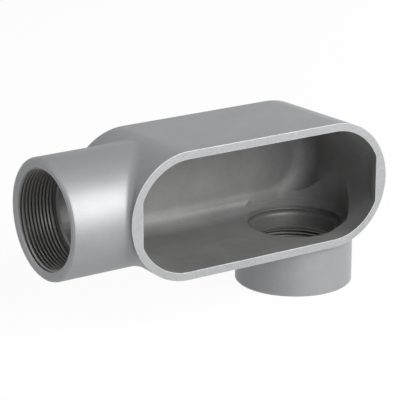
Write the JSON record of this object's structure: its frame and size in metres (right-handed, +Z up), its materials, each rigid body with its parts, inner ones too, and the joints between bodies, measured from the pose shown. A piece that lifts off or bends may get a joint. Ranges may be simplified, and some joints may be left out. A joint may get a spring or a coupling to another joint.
{
  "type": "conduit body",
  "caption": "Cast conduit elbow body with a threaded end hub, a threaded side hub and an open obround cover face.",
  "frame": {"origin": "centre of the side hub's mouth", "axes": "+Z up along the side hub's axis into the body; the end hub's mouth faces -X; the cover opening faces -Y"},
  "size_m": [0.2137, 0.0754, 0.1064],
  "materials": {
    "casting": "aluminium-coloured paint over a cast surface, soft satin"
  },
  "bodies": {
    "root": {"conduit_body": "casting"}
  },
  "joints": []
}
